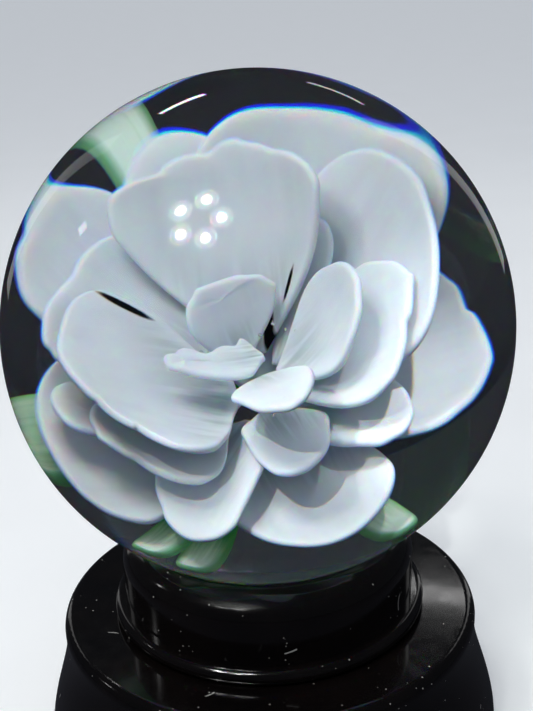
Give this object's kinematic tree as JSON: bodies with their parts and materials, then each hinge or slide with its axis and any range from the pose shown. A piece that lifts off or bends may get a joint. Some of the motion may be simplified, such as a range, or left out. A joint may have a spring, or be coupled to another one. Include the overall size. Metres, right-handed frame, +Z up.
{
  "type": "paperweight",
  "caption": "Clear glass ball with an open white flower and green leaves cased inside it, resting in a stepped black ring stand and free to lift off.",
  "frame": {"origin": "centre of the stand's underside", "axes": "+Z up through the stand and the ball, the flower inside leans towards -Y"},
  "size_m": [0.076, 0.076, 0.1063],
  "materials": {
    "clear_glass": "polished clear",
    "white_glass": "opal white with a cool tint",
    "green_glass": "pale jade to deep green, translucent",
    "black_lacquer": "gloss black lacquer"
  },
  "bodies": {
    "stand": {"stand_base": "black_lacquer", "stand_collar": "black_lacquer"},
    "globe": {"clear_glass_ball": "clear_glass", "outer_petal_1": "white_glass", "outer_petal_2": "white_glass", "outer_petal_3": "white_glass", "outer_petal_4": "white_glass", "outer_petal_5": "white_glass", "outer_petal_6": "white_glass", "outer_petal_7": "white_glass", "middle_petal_1": "white_glass", "middle_petal_2": "white_glass", "middle_petal_3": "white_glass", "middle_petal_4": "white_glass", "middle_petal_5": "white_glass", "middle_petal_6": "white_glass", "middle_petal_7": "white_glass", "middle_petal_8": "white_glass", "middle_petal_9": "white_glass", "middle_petal_10": "white_glass", "inner_petal_1": "white_glass", "inner_petal_2": "white_glass", "inner_petal_3": "white_glass", "inner_petal_4": "white_glass", "leaf_1": "green_glass", "leaf_2": "green_glass", "leaf_3": "green_glass", "leaf_4": "green_glass", "leaf_5": "green_glass"}
  },
  "joints": [
    {"name": "globe_lift", "type": "slide", "parent": "stand", "child": "globe", "axis": [0, 0, 1], "range_m": [0, 0.05]}
  ]
}
